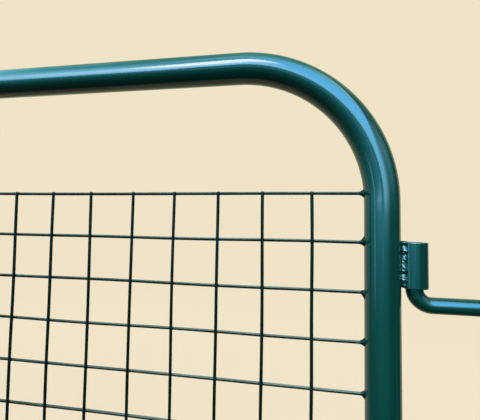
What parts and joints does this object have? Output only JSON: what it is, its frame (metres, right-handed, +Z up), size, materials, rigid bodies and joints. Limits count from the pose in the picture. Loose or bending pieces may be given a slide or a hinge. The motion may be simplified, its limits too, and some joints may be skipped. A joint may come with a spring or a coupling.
{
  "type": "kissing gate",
  "caption": "Kissing gate: a round-cornered tubular leaf with welded wire mesh swings on a post between two matching hoops that form a V enclosure.",
  "frame": {"origin": "centre of the hinge post's foot, at ground level", "axes": "+Z up, +X along the fence line from the leaf towards the hinge post, -Y the side that the picture is taken from"},
  "size_m": [2.3519, 1.0694, 1.2495],
  "materials": {
    "coated_tube": "gloss powder coat, dark moss green",
    "coated_wire": "gloss powder coat, dark moss green",
    "coated_fittings": "gloss powder coat, dark moss green",
    "cap_plastic": "satin moulded plastic, dark green",
    "buffer_rubber": "matt black rubber",
    "zinc_bolts": "zinc-plated fasteners"
  },
  "bodies": {
    "fixed_frame": {"hinge_post": "coated_tube", "hinge_post_cap": "cap_plastic", "hinge_post_base_plate": "coated_fittings", "upper_hinge_hook": "coated_fittings", "lower_hinge_hook": "coated_fittings", "front_hoop": "coated_tube", "front_hoop_bottom_rail": "coated_tube", "front_hoop_mesh": "coated_wire", "front_clapping_foot": "coated_fittings", "front_apex_foot": "coated_fittings", "front_upper_buffer": "buffer_rubber", "front_lower_buffer": "buffer_rubber", "back_hoop": "coated_tube", "back_hoop_bottom_rail": "coated_tube", "back_hoop_mesh": "coated_wire", "back_clapping_foot": "coated_fittings", "back_apex_foot": "coated_fittings", "back_upper_buffer": "buffer_rubber", "back_lower_buffer": "buffer_rubber", "upper_clamp_inner": "coated_fittings", "upper_clamp_outer": "coated_fittings", "lower_clamp_inner": "coated_fittings", "lower_clamp_outer": "coated_fittings"},
    "leaf": {"leaf_upper_frame": "coated_tube", "leaf_lower_frame": "coated_tube", "leaf_mesh": "coated_wire", "upper_hinge_bush": "coated_fittings", "lower_hinge_bush": "coated_fittings", "upper_bush_welds": "coated_fittings", "lower_bush_welds": "coated_fittings"}
  },
  "joints": [
    {"name": "leaf_swing", "type": "hinge", "parent": "fixed_frame", "child": "leaf", "pos_m": [-0.11, 0, 0.62], "axis": [0, 0, 1], "range_deg": [-24.5, 24.5]}
  ]
}
